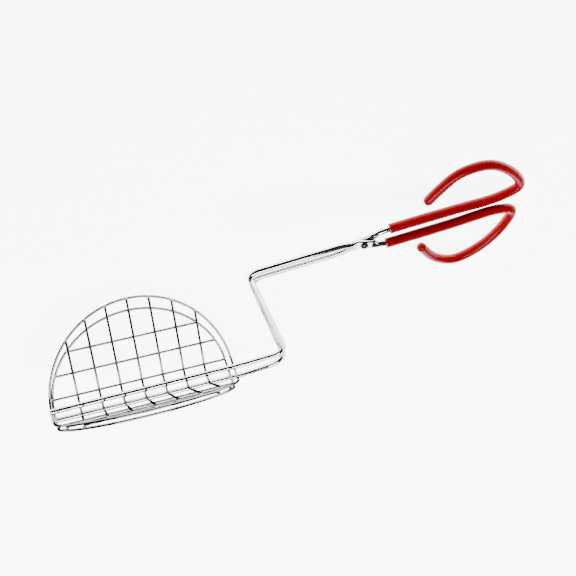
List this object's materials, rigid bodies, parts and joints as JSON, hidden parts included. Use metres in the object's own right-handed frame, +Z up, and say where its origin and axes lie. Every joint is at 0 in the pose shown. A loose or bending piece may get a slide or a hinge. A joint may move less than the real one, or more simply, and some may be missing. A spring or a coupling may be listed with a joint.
{
  "type": "taco shell frying tongs",
  "caption": "Scissor tongs of chromed wire: two nested V-folded oval baskets on crossed cranked rods, with open finger loops dipped in red vinyl.",
  "frame": {"origin": "centre of the bounding box on the surface the tool lies on", "axes": "+Z up from the table; +X from the baskets towards the finger loops; +Y across the tool"},
  "size_m": [0.4522, 0.229, 0.1284],
  "materials": {
    "rod_chrome": "bright chrome plate on round steel rod",
    "wire_chrome": "bright chrome plate on spot-welded steel wire",
    "rivet_steel": "plated rivet, slightly darker than the rods",
    "vinyl": "glossy red dipped vinyl"
  },
  "bodies": {
    "outer_half": {"outer_arm": "rod_chrome", "outer_grip": "vinyl", "pivot_rivet": "rivet_steel", "outer_rim": "wire_chrome", "outer_stringer_front_1": "wire_chrome", "outer_stringer_front_2": "wire_chrome", "outer_stringer_front_3": "wire_chrome", "outer_stringer_rear_1": "wire_chrome", "outer_stringer_rear_2": "wire_chrome", "outer_stringer_rear_3": "wire_chrome"},
    "inner_half": {"inner_arm": "rod_chrome", "inner_grip": "vinyl", "inner_rim": "wire_chrome", "inner_rib_1": "wire_chrome", "inner_rib_2": "wire_chrome", "inner_rib_3": "wire_chrome", "inner_rib_4": "wire_chrome", "inner_rib_5": "wire_chrome", "inner_rib_6": "wire_chrome", "inner_rib_7": "wire_chrome"}
  },
  "joints": [
    {"name": "scissor_pivot", "type": "hinge", "parent": "outer_half", "child": "inner_half", "pos_m": [0.07563, 0.04648, 0.04765], "axis": [-0.2371, 0.3688, -0.8988], "range_deg": [0, 25]}
  ]
}
